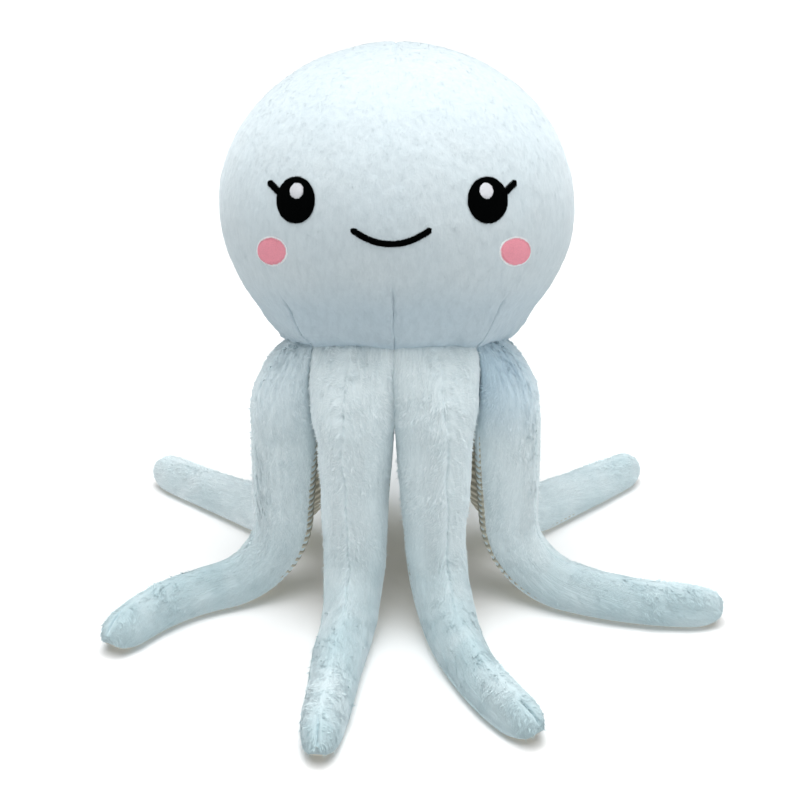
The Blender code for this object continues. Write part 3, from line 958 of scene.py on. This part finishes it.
def thread_rings(path, half_width, height):
    """One thread as an arched ribbon along a path of places, each with its normal."""
    rings = []
    last = len(path) - 1
    for i, (place, normal) in enumerate(path):
        ahead = (path[min(i + 1, last)][0] - path[max(i - 1, 0)][0]).normalized()
        across = ahead.cross(normal).normalized()
        ease = thread_end_share if i in (0, last) else 1
        ring = []
        for k in range(thread_sides):
            angle = pi * k / (thread_sides - 1)
            ring.append(place + across * (cos(angle) * half_width * ease)
                        + normal * (sin(angle) * height * ease - thread_sink))
        rings.append(ring)
    return rings


def join_threads(name, threads, material):
    """One piece from threads, each a list of rings that gets closed at both ends."""
    vertices, faces = [], []
    for rings in threads:
        base, sides = len(vertices), len(rings[0])
        vertices.extend(tuple(point) for ring in rings for point in ring)
        last = (len(rings) - 1) * sides
        caps = (range(sides), range(last + sides - 1, last - 1, -1))
        for face in (*grid_faces(len(rings), sides), *caps):
            faces.append([base + corner for corner in face])
    return make_object(name, np.array(vertices), faces, material)


def satin_oval(name, across, up, width, height, stitching, material, seed, turn=0.0):
    """An oval filled with threads laid side by side, higher in the middle."""
    random = np.random.default_rng(seed)
    lift, dome, pitch, tilt = stitching
    middle, level, rising = patch_axes(across, up)
    sideways = level * cos(radians(turn)) + rising * sin(radians(turn))
    upward = rising * cos(radians(turn)) - level * sin(radians(turn))

    def place_at(px, py, rise):
        return drawn_to_fabric(middle + sideways * px + upward * py, rise)

    threads = []
    half = hypot(width, height) / 2
    dx, dy = Vector((cos(radians(tilt)), sin(radians(tilt))))
    for i in range(ceil(2 * half / pitch)):
        offset = (i + 0.5) * pitch - half
        # Where the row crosses the oval
        ax, ay = dx / (width / 2), dy / (height / 2)
        bx, by = -dy * offset / (width / 2), dx * offset / (height / 2)
        a = ax * ax + ay * ay
        b = 2 * (ax * bx + ay * by)
        inside = b * b - 4 * a * (bx * bx + by * by - 1)
        if inside <= 0:
            continue
        start, end = ((-b + sign * sqrt(inside)) / (2 * a)
                      + random.uniform(-oval_stitch_jitter, oval_stitch_jitter) for sign in (-1, 1))
        span = end - start
        if span < pitch:
            continue
        path = []
        count = max(2, ceil(span / oval_stitch_step))
        for k in range(count + 1):
            place = start + span * k / count
            px, py = dx * place - dy * offset, dy * place + dx * offset
            reach = min(hypot(px / (width / 2), py / (height / 2)), 1)
            rise = lift + dome * sqrt(1 - reach ** 2 * 0.98) + random.uniform(-0.00004, 0.00004)
            path.append(place_at(px, py, rise))
        threads.append(thread_rings(path, pitch * thread_half_width_share, pitch * 0.45))
    # A closed dome under the threads, so that no fabric shows between them
    turns = np.linspace(0, 2 * pi, dome_columns, endpoint=False)
    threads.append([[place_at(cos(t) * width / 2 * share * 0.98, sin(t) * height / 2 * share * 0.98,
                              lift + dome * rise)[0] for t in turns]
                    for share, rise in dome_profile])
    return join_threads(name, threads, material)


def satin_line(name, places, width, material, seed):
    """A line of satin stitches that cross it from side to side."""
    random = np.random.default_rng(seed)
    xs, ys = np.array(places).T
    steps = np.concatenate(((0,), np.cumsum(np.hypot(np.diff(xs), np.diff(ys)))))
    total = steps[-1]

    def at(distance):
        return Vector((np.interp(distance, steps, xs), np.interp(distance, steps, ys)))

    threads = []
    count = ceil(total / line_pitch)
    for i in range(count + 1):
        distance = total * i / count
        along = (at(min(distance + 0.0005, total)) - at(max(distance - 0.0005, 0))).normalized()
        beside = Vector((-along.y, along.x))
        from_end = min(distance, total - distance)
        size = sqrt(max(1 - max(1 - from_end / (width / 2), 0) ** 2, 0.12))
        low, high = (width / 2 * size + random.uniform(-0.00012, 0.00016) for _ in range(2))
        path = []
        for share in (-1, -0.5, 0, 0.5, 1):
            reach = share * (high if share > 0 else low)
            place = at(distance) + beside * reach + along * line_slant_share * line_pitch * share
            rise = line_lift * sqrt(1 - share * share * 0.9) * size
            path.append(drawn_to_fabric(head_matrix @ on_plain_head(*place), rise))
        threads.append(thread_rings(path, line_pitch * thread_half_width_share, line_pitch * 0.5))
    return join_threads(name, threads, material)


def join_pieces(piece, other):
    """Join a second piece, with its own material, into the first."""
    material = other.data.materials[0]
    names = [slot.name for slot in piece.data.materials]
    if material.name not in names:
        piece.data.materials.append(material)
        names.append(material.name)
    for face in other.data.polygons:
        face.material_index = names.index(material.name)
    bm = bmesh.new()
    bm.from_mesh(piece.data)
    bm.from_mesh(other.data)
    bm.to_mesh(piece.data)
    bm.free()
    bpy.data.objects.remove(other, do_unlink=True)
    piece.data.shade_smooth()
    return piece


def make_face(materials):
    black = materials["black"]
    for side, word in ((-1, "left"), (1, "right")):
        eye = satin_oval("eye_%s_stitches" % word, side * eye_across + face_shift, eye_up,
                         eye_width, eye_height, eye_stitching, black, 11 + side)
        lash_places = [(side * mix(lash_outer_across, lash_inner_across, share) + face_shift,
                        mix(lash_outer_up, lash_inner_up, share))
                       for share in np.linspace(0, 1, 6)]
        lash = satin_line("lash", lash_places, line_width * 1.15, black, 15 + side)
        fix_to_head(join_pieces(eye, lash), "black_thread", "eye_" + word)
        glint_across = side * (eye_across - highlight_inward + highlight_shift) + face_shift
        glint = satin_oval("highlight_%s_stitches" % word, glint_across, eye_up + highlight_up,
                           highlight_width, highlight_height, highlight_stitching,
                           materials["white"], 19 + side)
        fix_to_head(glint, "white_thread", "highlight_" + word)
        turn = -side * cheek_tilt
        cheek = satin_oval("cheek_%s_stitches" % word, side * cheek_across, -cheek_drop,
                           cheek_width, cheek_height, cheek_stitching, materials["pink"],
                           23 + side, turn)
        # A pale ring of fabric round the stitches
        ring = satin_oval("ring", side * cheek_across, -cheek_drop, cheek_width + cheek_ring_width,
                          cheek_height + cheek_ring_width, ring_stitching, materials["pale"],
                          27 + side, turn)
        fix_to_head(join_pieces(cheek, ring), "pink_thread", "cheek_" + word)
    smile_places = [smile_point(share) for share in np.linspace(-1, 1, 40)]
    smile = satin_line("smile_stitches", smile_places, line_width * 1.02, black, 31)
    fix_to_head(smile, "black_thread", "smile")


# Materials

def add_node(tree, kind, inputs, **settings):
    """A shader node with its settings, and its inputs linked to sockets or given values."""
    node = tree.nodes.new("ShaderNode" + kind)
    for name, value in settings.items():
        setattr(node, name, value)
    for key, value in inputs.items():
        if isinstance(value, bpy.types.NodeSocket):
            tree.links.new(value, node.inputs[key])
        else:
            node.inputs[key].default_value = value
    return node


def new_material(name, roughness, gloss, sheen=0.0):
    material = bpy.data.materials.new(name)
    material.use_nodes = True
    shader = material.node_tree.nodes["Principled BSDF"]
    shader.inputs["Roughness"].default_value = roughness
    shader.inputs["Specular IOR Level"].default_value = gloss
    shader.inputs["Sheen Weight"].default_value = sheen
    return material, material.node_tree, shader


def object_places(tree):
    return add_node(tree, "TexCoord", {}).outputs["Object"]


def read_layer(tree, name):
    return add_node(tree, "UVMap", {}, uv_map=name).outputs["UV"]


def add_noise(tree, source, scale, detail, roughness, stretch=(1, 1, 1)):
    place = add_node(tree, "Mapping", {"Vector": source, "Scale": stretch}).outputs["Vector"]
    return add_node(tree, "TexNoise", {"Vector": place, "Scale": scale, "Detail": detail,
                                       "Roughness": roughness}).outputs["Fac"]


def ramp(tree, factor, stops):
    node = add_node(tree, "ValToRGB", {"Fac": factor})
    elements = node.color_ramp.elements
    for element, (position, colour) in zip(elements, (stops[0], stops[-1])):
        element.position, element.color = position, (*colour, 1)
    for position, colour in stops[1:-1]:
        elements.new(position).color = (*colour, 1)
    return node.outputs["Color"]


def mix_colours(tree, factor, first, second, blend="MIX"):
    # A mix node's sockets for colours, which share their names with those for numbers
    node = add_node(tree, "Mix", {0: factor, 6: first, 7: second}, data_type="RGBA",
                    blend_type=blend)
    return node.outputs[2]


def add_bump(tree, shader, height, strength, distance, before=None):
    inputs = {"Height": height, "Strength": strength, "Distance": distance}
    if before is not None:
        inputs["Normal"] = before
    normal = add_node(tree, "Bump", inputs).outputs["Normal"]
    tree.links.new(normal, shader.inputs["Normal"])
    return normal


def plush_material(name, by_layers, stretch, colours, cool_shares, bump):
    """Short pile: brushed streaks along the nap over soft patches where it lies another way."""
    material, tree, shader = new_material(name, 0.95, 0.12, 0.60)
    shader.inputs["Sheen Roughness"].default_value = 0.5
    shader.inputs["Sheen Tint"].default_value = (0.90, 0.97, 1.0, 1)
    if by_layers:
        nap, body = read_layer(tree, "nap"), read_layer(tree, "body")
    else:
        nap = body = object_places(tree)
    deep, pale, cool = colours
    streaks = add_noise(tree, nap, 1500, 3, 0.6, stretch)
    tufts = add_noise(tree, nap, 420, 2, 0.5, stretch)
    fine = ramp(tree, streaks, [(0.30, deep), (0.72, pale)])
    # The tufts' colour follows their bump: painted shade in their hollows and painted light on
    # their tops
    clumped = ramp(tree, tufts, [(0.34, deep), (0.60, pale)])
    broad = add_noise(tree, body, 34, 2, 0.5)
    patches = ramp(tree, broad, [(0.38, (1, 1, 1)), (0.72, (0, 0, 0))])
    # The tone layer's coordinates: how much bluer the plush is, and how much painted shade darkens
    # it
    tone = add_node(tree, "SeparateXYZ", {"Vector": read_layer(tree, "tone")}).outputs
    patches = add_node(tree, "Math", {0: patches, 1: tone["X"]}).outputs["Value"]
    along = add_node(tree, "SeparateXYZ", {"Vector": body}).outputs["Y"]
    run = add_node(tree, "MapRange", {"Value": along, "From Min": cool_from, "From Max": cool_to,
                                      "To Min": cool_shares[0], "To Max": cool_shares[1]})
    amount = add_node(tree, "Math", {0: patches, 1: run.outputs["Result"]}, operation="MULTIPLY",
                      use_clamp=True).outputs["Value"]
    colour = mix_colours(tree, amount, mix_colours(tree, 0.5, fine, clumped), (*cool, 1))
    # Painted shade, multiplied in by the tone layer's second coordinate
    colour = mix_colours(tree, tone["Y"], colour, (*painted_shade_tint, 1), "MULTIPLY")
    tree.links.new(colour, shader.inputs["Base Color"])
    first = add_bump(tree, shader, tufts, bump, 0.0006)
    add_bump(tree, shader, streaks, bump, 0.0003, first)
    return material


def corduroy_material():
    """Ribbed cloth: pale ribs with painted shade in the darker valleys between them."""
    material, tree, shader = new_material("cream_corduroy_cloth", 0.9, 0.15, 0.2)
    ribs = add_node(tree, "TexWave", {"Vector": read_layer(tree, "ribs"), "Phase Offset": pi / 2,
                                      "Scale": wave_unit / rib_pitch},
                    wave_type="BANDS", bands_direction="Y").outputs["Fac"]
    fine = add_noise(tree, object_places(tree), 1400, 3, 0.6)
    # Painted shade in the valleys between the ribs, following the ribs' waves
    shades = ramp(tree, ribs, [(0.15, rib_colours[0]), (0.6, rib_colours[1])])
    fuzz = ramp(tree, fine, [(0.3, rib_fuzz_colour), (0.7, rib_colours[1])])
    tree.links.new(mix_colours(tree, 0.35, shades, fuzz), shader.inputs["Base Color"])
    add_bump(tree, shader, fine, 0.4, 0.0003)
    return material


def thread_material(name, colour, variation, roughness, gloss=0.03):
    material, tree, shader = new_material(name, roughness, gloss)
    fine = add_noise(tree, object_places(tree), 2600, 2, 0.6)
    dark = tuple(c * (1 - variation) for c in colour)
    light = tuple(min(c * (1 + variation), 1) for c in colour)
    tree.links.new(ramp(tree, fine, [(0.3, dark), (0.7, light)]), shader.inputs["Base Color"])
    add_bump(tree, shader, fine, 0.3, 0.0001)
    return material


def floor_material():
    material, tree, shader = new_material("pale_floor", 0.9, 0.1)
    soft = add_noise(tree, object_places(tree), 2, 2, 0.5)
    shades = ramp(tree, soft, [(0.2, (0.93, 0.93, 0.93)), (0.8, (0.95, 0.95, 0.945))])
    tree.links.new(shades, shader.inputs["Base Color"])
    return material


# Studio

def make_floor():
    """A flat floor that rises far away into a round pale wall."""
    profile = [(0.0, 0.0), (floor_radius, 0.0)]
    profile += [(floor_radius + wall_bend_radius * sin(a), wall_bend_radius * (1 - cos(a)))
                for a in np.linspace(0.1, pi / 2, 12)]
    profile.append((floor_radius + wall_bend_radius, wall_height))
    reach, rise = np.array(profile).T[..., None]
    turns = np.linspace(0, 2 * pi, floor_columns, endpoint=False)
    grid = together(reach * np.sin(turns), reach * np.cos(turns), rise)
    floor = make_object("studio_floor", grid, grid_faces(*grid.shape[:2]), floor_material())
    floor.visible_diffuse = False
    floor.visible_shadow = False


def add_light(name, kind, place, target, strength, **settings):
    light = bpy.data.lights.new(name, kind)
    light.energy = strength
    for setting, value in settings.items():
        setattr(light, setting, value)
    lamp = bpy.data.objects.new(name, light)
    lamp.location = place
    lamp.rotation_euler = (Vector(target) - Vector(place)).to_track_quat("-Z", "Y").to_euler()
    bpy.context.scene.collection.objects.link(lamp)


def make_studio():
    """Even white light from all round, dimmer from below, with a broad light overhead."""
    world = bpy.data.worlds.new("studio")
    world.use_nodes = True
    tree = world.node_tree
    place = add_node(tree, "TexCoord", {}).outputs["Generated"]
    height = add_node(tree, "SeparateXYZ", {"Vector": place}).outputs["Z"]
    share = add_node(tree, "MapRange", {"Value": height, "From Min": -horizon_fade,
                                        "From Max": horizon_fade}).outputs["Result"]
    shades = ramp(tree, share, [(0.0, light_below), (0.5, light_level), (1.0, light_above)])
    tree.links.new(shades, tree.nodes["Background"].inputs["Color"])
    bpy.context.scene.world = world
    add_light("overhead_light", "SUN", (0, 0, 1), (0, 0, 0), sun_strength, angle=radians(sun_angle))
    for name, place, target, size, power in area_lights:
        add_light(name, "AREA", place, target, power, shape="DISK", size=size)


def make_camera():
    pitch = radians(camera_pitch)
    turn = Matrix.Rotation(radians(camera_yaw), 3, "Z")
    forward = turn @ Vector((0, cos(pitch), -sin(pitch)))
    up = turn @ Vector((0, sin(pitch), cos(pitch)))
    right = turn @ Vector((1, 0, 0))
    across, below = ((pixel - photo_size / 2) / focal_pixels for pixel in neck_pixel)
    neck = Vector((0, 0, neck_height)) + toy_offset
    place = neck - camera_distance * (forward + across * right - below * up)
    roll = Matrix.Rotation(radians(camera_roll), 3, "Z")
    rotation = Matrix((right, up, -forward)).transposed() @ roll
    data = bpy.data.cameras.new("camera")
    data.sensor_width = sensor_width_mm
    data.lens = sensor_width_mm * focal_pixels / photo_size
    camera = bpy.data.objects.new("camera", data)
    camera.matrix_world = Matrix.Translation(place) @ rotation.to_4x4()
    bpy.context.scene.collection.objects.link(camera)
    bpy.context.scene.camera = camera


toy_offset = toy_centre()
head_matrix = Matrix.Translation(toy_offset) @ head_frame_matrix()

make_camera()
make_studio()
make_floor()
bpy.context.scene.view_settings.view_transform = "Standard"

head_cloth = plush_material("pale_blue_plush_cloth", False, (1, 1, 0.45), head_colours,
                            (0.3, 0.3), 0.35)
arm_cloth = plush_material("pale_blue_arm_cloth", True, (1, 0.5, 1), arm_colours, (0.1, 0.85), 0.6)
# The pile's lighter colours are painted highlight of its tips
pile_cloth = plush_material("pale_blue_pile_tips", True, (1, 0.5, 1), pile_colours,
                            (0.1, 0.85), 0.3)
corduroy = corduroy_material()
thread_materials = {
    "black": thread_material("black_thread_shine", (0.0007, 0.0010, 0.0010), 0.5, 0.75, 0.008),
    "white": thread_material("white_thread_shine", (0.66, 0.67, 0.70), 0.1, 0.5),
    "pale": thread_material("pale_ring_fabric", (0.80, 0.83, 0.85), 0.08, 0.9),
    "pink": thread_material("pink_thread_shine", (0.84, 0.34, 0.41), 0.12, 0.8),
}

head_piece, head_surface, head_tone = make_head(head_cloth)
fix_to_head(head_piece, "pale_blue_plush", "head_front_panel", "head_back_panel", "head_stuffing")
head_tree = BVHTree.FromPolygons(
    [tuple(v.co) for v in head_piece.data.vertices],
    [tuple(p.vertices) for p in head_piece.data.polygons],
)
fix_to_head(make_head_pile(head_surface, head_tone, head_cloth), "pale_blue_plush")
make_face(thread_materials)
make_base(corduroy)
for arm_number, arm_entry in enumerate(arms, 1):
    make_arm(arm_number, arm_entry, arm_cloth, pile_cloth, corduroy)
